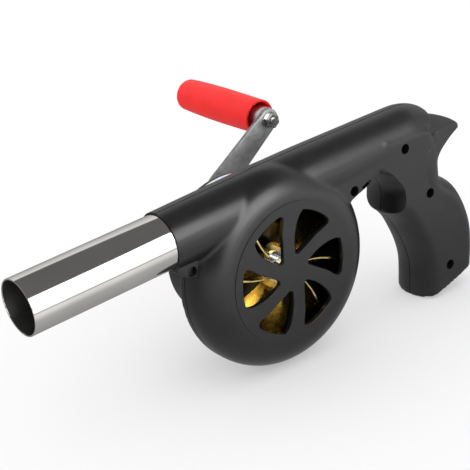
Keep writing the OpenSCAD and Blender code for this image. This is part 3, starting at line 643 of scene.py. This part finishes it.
# Nozzle, crank and handle
HANDLE = (200.302, 3.746)
ARM_Y = 54.1
ARM_END_Y = 66.6
ARM_T = 2.0
ARM_HUB_R = 9.0
ARM_END_R = 6.2
ARM_BEND = (13.0, 25.5)
ARM_EASE = 1.6
ARM_EDGE = 0.35
BEND_CUTS = 4
SLEEVE_Y = 74.6
SLEEVE_END = 141.1
SLEEVE_BELLY = ((9.4, 130), (9.7, 118), (9.8, 108), (9.7, 94), (9.55, 82))
SLEEVE_MOUTH_R = 8.1
SLEEVE_BORE_R = 4.2
MOUTH_DEPTH = 12
CAP_R = 6.45
CAP_T = 1.5
SHAFT_WASHER_T = 1.0
SHAFT_WASHER_R = 6.0
SHAFT_WASHER_BORE = 3.1
SHAFT_NUT_BORE = 3.0
SHAFT_NUT_T = 5.0
SHAFT_NUT_FLATS = 10.0


def ring(name, centre, bore, radius, low, high, edge=0.15, axis="Y", steps=64):
    """A turned ring with softened edges."""
    profile = ((bore, low + edge), (bore + edge, low), (radius - edge, low), (radius, low + edge),
               (radius, high - edge), (radius - edge, high), (bore + edge, high), (bore, high - edge))
    return lathe(name, profile, centre, axis, steps)


def nut(name, centre, flats, low, high, bore, turn=0.0):
    """A hexagon nut with turned chamfers on both faces and a bevelled bore."""
    corner = flats / math.sqrt(3)
    angles = [math.radians(turn + 60 * k) for k in range(6)]
    outline = [(centre[0] + corner * math.cos(a), centre[1] + corner * math.sin(a)) for a in angles]
    chamfer = corner * 0.14
    shape = lathe("nut_turning", ((bore, low + 0.3), (bore + 0.3, low), (flats / 2 * 0.97, low),
                                  (corner + 0.02, low + chamfer), (corner + 0.02, high - chamfer),
                                  (flats / 2 * 0.97, high), (bore + 0.3, high), (bore, high - 0.3)), centre)
    return boolean(plate(name, outline, low - CUT, high + CUT), shape, "INTERSECT")


def make_nozzle():
    """The steel tube, with its lips rounded at the muzzle and a bore in a rougher, unpolished finish whose
    near-black colour paints the shade inside the tube.
    """
    lip = ((TUBE_BORE, LIP), (TUBE_BORE + LIP_EASE, LIP_EASE), (TUBE_BORE + LIP, 0), (TUBE_R - LIP, 0),
           (TUBE_R - LIP_EASE, LIP_EASE), (TUBE_R, LIP))
    tail = ((TUBE_R, TUBE_OUT), (TUBE_SEAT_R, TUBE_OUT), (TUBE_SEAT_R, TUBE_END), (TUBE_BORE, TUBE_END))
    tube = lathe("polished_tube", lip + tail, axis="X", steps=FINE_TURNS)
    seat(tube, "housing", STAINLESS)
    # The bore faces get the darker finish, which paints the shade inside the tube.
    tube.data.materials.append(SHADED_BORE)
    for face in tube.data.polygons:
        middle = PLACE.inverted() @ face.center
        if math.hypot(middle.y, middle.z) < TUBE_BORE + BORE_MARGIN and middle.x > LIP:
            face.material_index = 1
    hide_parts("nozzle_tube")


def arm_depth(u):
    """Depth of the arm's near face at a distance from its shaft: a slope between two easy bends."""
    low, high = ARM_BEND
    slope = (ARM_END_Y - ARM_Y) / (high - low)
    depth = ARM_Y + slope * (u - low)
    if u < low - ARM_EASE:
        depth = ARM_Y
    elif u < low + ARM_EASE:
        depth = ARM_Y + slope * (u - low + ARM_EASE) ** 2 / (4 * ARM_EASE)
    elif u > high + ARM_EASE:
        depth = ARM_END_Y
    elif u > high - ARM_EASE:
        depth = ARM_END_Y - slope * (high + ARM_EASE - u) ** 2 / (4 * ARM_EASE)
    return depth


def make_arm():
    """The crank's arm: a flat strip between two round ends, cranked between its two bends."""
    hub, end = Vector(CASING), Vector(HANDLE)
    along = (end - hub).normalized()
    across = Vector((-along.y, along.x))
    length = (end - hub).length
    lean = math.degrees(math.acos((ARM_HUB_R - ARM_END_R) / length))
    outline = [(length + ARM_END_R * math.cos(a), ARM_END_R * math.sin(a))
               for a in (math.radians(-lean + 2 * lean * k / 24) for k in range(25))]
    outline += [(ARM_HUB_R * math.cos(a), ARM_HUB_R * math.sin(a))
                for a in (math.radians(lean + (360 - 2 * lean) * k / 32) for k in range(33))]
    bm = bmesh.new()
    bm.faces.new([bm.verts.new((u, 0, w)) for u, w in outline])
    for bend in ARM_BEND:
        for k in range(-BEND_CUTS, BEND_CUTS + 1):
            bmesh.ops.bisect_plane(bm, geom=bm.verts[:] + bm.edges[:] + bm.faces[:], dist=WELD,
                                   plane_co=(bend + ARM_EASE * k / BEND_CUTS, 0, 0), plane_no=(1, 0, 0))
    for v in bm.verts:
        spot = hub + along * v.co.x + across * v.co.z
        v.co = (spot.x, arm_depth(v.co.x), spot.y)
    grown = bmesh.ops.extrude_face_region(bm, geom=bm.faces[:])
    lifted = [v for v in grown["geom"] if isinstance(v, bmesh.types.BMVert)]
    bmesh.ops.translate(bm, verts=lifted, vec=(0, ARM_T, 0))
    bmesh.ops.recalc_face_normals(bm, faces=bm.faces)
    rims = [e for e in bm.edges if e.calc_face_angle(0) > math.radians(60)]
    bmesh.ops.bevel(bm, geom=rims, offset=ARM_EDGE, offset_type="OFFSET", segments=2, profile=0.5,
                    affect="EDGES", material=-1)
    arm = settled(bm, "flat_crank_arm")
    seat(arm, "crank", ARM_STEEL, 25.0)
    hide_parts("crank_arm")


def make_crank_fasteners():
    """Washer and nut that hold the arm on its shaft."""
    seat_y = ARM_Y - SHAFT_WASHER_T
    washer = ring("crank_shaft_washer", CASING, SHAFT_WASHER_BORE, SHAFT_WASHER_R, seat_y, ARM_Y)
    hexagon = nut("crank_shaft_nut", CASING, SHAFT_NUT_FLATS, seat_y - SHAFT_NUT_T, seat_y, SHAFT_NUT_BORE)
    for piece, node in ((washer, "shaft_washer"), (hexagon, "shaft_nut")):
        seat(piece, "crank", ZINC, 28.0)
        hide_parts(node)


def make_handle():
    """The turning sleeve with its belly, and the cap that closes its far end."""
    sleeve_far = arc((6.4, SLEEVE_END - 2.6), 2.6, 90, 0, 8)
    mouth = arc((8.9, SLEEVE_Y + 0.6), 0.6, 0, -90, 4)
    profile = ([(6.5, SLEEVE_END - 1.6), (6.5, SLEEVE_END)] + sleeve_far
               + list(SLEEVE_BELLY) + mouth
               + [(8.35, SLEEVE_Y), (SLEEVE_MOUTH_R, SLEEVE_Y + 0.4),
                  (SLEEVE_MOUTH_R, SLEEVE_Y + MOUTH_DEPTH),
                  (SLEEVE_BORE_R, SLEEVE_Y + MOUTH_DEPTH), (SLEEVE_BORE_R, SLEEVE_END - 1.6)])
    sleeve = lathe("handle_grip_sleeve", profile, HANDLE, steps=128)
    cap = lathe("handle_end_cap", [(0, SLEEVE_END - CAP_T), (CAP_R, SLEEVE_END - CAP_T),
                                   (CAP_R, SLEEVE_END - 0.35), (6.1, SLEEVE_END - 0.05), (0, SLEEVE_END)],
                HANDLE, steps=64)
    for piece, node in ((sleeve, "handle_sleeve"), (cap, "handle_cap")):
        seat(piece, "handle", RED, 40.0)
        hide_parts(node)


make_nozzle()
make_arm()
make_crank_fasteners()
make_handle()


# Camera, light and floor
def make_camera():
    """The camera of the photo, solved in the blower's frame."""
    spot = PLACE @ Vector(CAMERA_SPOT)
    aim = PLACE @ Vector(CAMERA_AIM)
    forward = (aim - spot).normalized()
    up = PLACE.to_3x3().normalized() @ Vector((0, 0, 1))
    level = forward.cross(up).normalized()
    rise = level.cross(forward)
    view = Matrix((level, rise, -forward)).transposed()
    roll = Matrix.Rotation(math.radians(CAMERA_ROLL), 3, "Z")
    camera = bpy.data.objects.new("camera", bpy.data.cameras.new("camera"))
    camera.matrix_world = Matrix.Translation(spot) @ (view @ roll).to_4x4()
    camera.data.sensor_width = CAMERA_SENSOR
    camera.data.lens = CAMERA_LENS
    camera.data.clip_end = CAMERA_REACH
    bpy.context.scene.collection.objects.link(camera)
    bpy.context.scene.camera = camera


def mixed(tree, factor, low, high):
    """A value between low and high, by factor. Each is a number or a socket."""
    mix = tree.nodes.new("ShaderNodeMix")
    for socket, value in ((0, factor), (2, low), (3, high)):
        if isinstance(value, (int, float)):
            mix.inputs[socket].default_value = value
        else:
            tree.links.new(value, mix.inputs[socket])
    return mix.outputs[0]


def maths(tree, operation, first, second=0.0):
    """The result of a sum or a product. Each operand is a number or a socket."""
    node = tree.nodes.new("ShaderNodeMath")
    node.operation = operation
    for socket, value in enumerate((first, second)):
        if isinstance(value, (int, float)):
            node.inputs[socket].default_value = value
        else:
            tree.links.new(value, node.inputs[socket])
    return node.outputs[0]


def stepped(tree, source, low, high):
    """A smooth step of source from 0 at low to 1 at high."""
    step = tree.nodes.new("ShaderNodeMapRange")
    step.interpolation_type = "SMOOTHSTEP"
    step.inputs["From Min"].default_value = low
    step.inputs["From Max"].default_value = high
    tree.links.new(source, step.inputs["Value"])
    return step.outputs["Result"]


BOX_LIGHT = 7.2
BOX_FOOT_LIGHT = 1.9
SIDE_LIGHT = 0.85
DARK_CORNER = 0.15
BACK_LIGHT = (0.36, 1.0)
CEILING_LIGHT = 0.17
ROOM_LIGHT = 1.1
BOX_FOOT = (0.08, 0.22)
BOX_SIDE = (0.53, 0.60)
BOX_CORNER = (-0.05, 0.5)
BOX_DEPTH = (0.1, 0.35)
FRONT_CEILING = (0.62, 0.70)
BACK_CEILING = (0.68, 0.76)


def make_world():
    """Soft white studio whose light box in front, pale walls and dark ceiling show in gloss."""
    world = bpy.data.worlds.new("studio")
    bpy.context.scene.world = world
    world.use_nodes = True
    tree = world.node_tree
    direction = tree.nodes.new("ShaderNodeTexCoord")
    parts = tree.nodes.new("ShaderNodeSeparateXYZ")
    tree.links.new(direction.outputs["Generated"], parts.inputs["Vector"])
    light = tree.nodes.new("ShaderNodeLightPath")
    height = parts.outputs["Z"]
    level = maths(tree, "SQRT", maths(tree, "SUBTRACT", 1.0, maths(tree, "POWER", height, 2.0)))
    rightness = maths(tree, "DIVIDE", parts.outputs["X"], level)
    leftness = maths(tree, "MULTIPLY", rightness, -1.0)
    nearness = maths(tree, "MULTIPLY", parts.outputs["Y"], -1.0)
    box = mixed(tree, stepped(tree, height, *BOX_FOOT), BOX_FOOT_LIGHT, BOX_LIGHT)
    box = mixed(tree, stepped(tree, rightness, *BOX_SIDE), box, SIDE_LIGHT)
    box = mixed(tree, stepped(tree, leftness, *BOX_CORNER), box, DARK_CORNER)
    front = stepped(tree, nearness, *BOX_DEPTH)
    back = maths(tree, "ADD", maths(tree, "MULTIPLY", height, BACK_LIGHT[1]), BACK_LIGHT[0])
    glossy = mixed(tree, front, back, box)
    front_ceiling = stepped(tree, height, *FRONT_CEILING)
    back_ceiling = stepped(tree, height, *BACK_CEILING)
    ceiling = mixed(tree, front, back_ceiling, front_ceiling)
    glossy = mixed(tree, ceiling, glossy, CEILING_LIGHT)
    seen = mixed(tree, light.outputs["Is Glossy Ray"], ROOM_LIGHT, glossy)
    seen = mixed(tree, light.outputs["Is Camera Ray"], seen, 1.0)
    tree.nodes["Background"].inputs["Color"].default_value = (1, 1, 1, 1)
    tree.links.new(seen, tree.nodes["Background"].inputs["Strength"])


FLOOR_SIZE = 6.0
FLOOR_SPAN = 0.6
# Painted reflection of the floor: strength of the glow that reflections see along the floor's Y. It is
# bright in front, has a painted dark line, dims with painted shadow near the blower and is darker at the
# back.
FLOOR_PAINTED_REFLECTION = (
    (0.0, 1.8), (0.30, 1.8), (0.36, 1.15), (0.40, 0.5), (0.44, 0.5), (0.50, 1.15), (0.64, 1.1), (0.76, 0.6),
    (1.0, 0.33))


def make_floor():
    """Pale floor, lit with real shadows for the camera. Reflections see a painted glow instead: bright in
    front, a painted dark line for a front edge, painted shadow that dims it towards the blower and stays
    dim behind it, and a darker back.
    """
    bm = bmesh.new()
    bmesh.ops.create_grid(bm, x_segments=1, y_segments=1, size=FLOOR_SIZE / 2)
    mesh = bpy.data.meshes.new("floor")
    bm.to_mesh(mesh)
    bm.free()
    floor = bpy.data.objects.new("floor", mesh)
    bpy.context.scene.collection.objects.link(floor)
    material = bpy.data.materials.new("studio_floor")
    material.use_nodes = True
    tree = material.node_tree
    tree.nodes.clear()
    out = tree.nodes.new("ShaderNodeOutputMaterial")
    diffuse = tree.nodes.new("ShaderNodeBsdfDiffuse")
    diffuse.inputs["Color"].default_value = (0.60, 0.60, 0.60, 1)
    glow = tree.nodes.new("ShaderNodeEmission")
    light = tree.nodes.new("ShaderNodeLightPath")
    place = tree.nodes.new("ShaderNodeTexCoord")
    parts = tree.nodes.new("ShaderNodeSeparateXYZ")
    tree.links.new(place.outputs["Object"], parts.inputs["Vector"])
    tree.links.new(mixed(tree, light.outputs["Is Camera Ray"], 0.25, 0.36), glow.inputs["Strength"])
    both = tree.nodes.new("ShaderNodeAddShader")
    tree.links.new(diffuse.outputs[0], both.inputs[0])
    tree.links.new(glow.outputs[0], both.inputs[1])
    span = tree.nodes.new("ShaderNodeMapRange")
    span.inputs["From Min"].default_value = -FLOOR_SPAN
    span.inputs["From Max"].default_value = 0.0
    tree.links.new(parts.outputs["Y"], span.inputs["Value"])
    painted_bands = tree.nodes.new("ShaderNodeValToRGB")
    while len(painted_bands.color_ramp.elements) < len(FLOOR_PAINTED_REFLECTION):
        painted_bands.color_ramp.elements.new(0.5)
    for band, (spot, strength) in zip(painted_bands.color_ramp.elements, FLOOR_PAINTED_REFLECTION):
        band.position = spot
        band.color = (strength / 2, strength / 2, strength / 2, 1)
    tree.links.new(span.outputs["Result"], painted_bands.inputs["Fac"])
    # Glow that only reflections see. It paints the floor's reflection and the blower's shadow in it.
    painted_reflection = tree.nodes.new("ShaderNodeEmission")
    tree.links.new(painted_bands.outputs["Color"], painted_reflection.inputs["Color"])
    painted_reflection.inputs["Strength"].default_value = 2.0
    surface = tree.nodes.new("ShaderNodeMixShader")
    tree.links.new(light.outputs["Is Glossy Ray"], surface.inputs["Fac"])
    tree.links.new(both.outputs[0], surface.inputs[1])
    tree.links.new(painted_reflection.outputs[0], surface.inputs[2])
    tree.links.new(surface.outputs[0], out.inputs["Surface"])
    floor.data.materials.append(material)


make_camera()
make_world()
make_floor()
bpy.context.scene.view_settings.view_transform = "Standard"
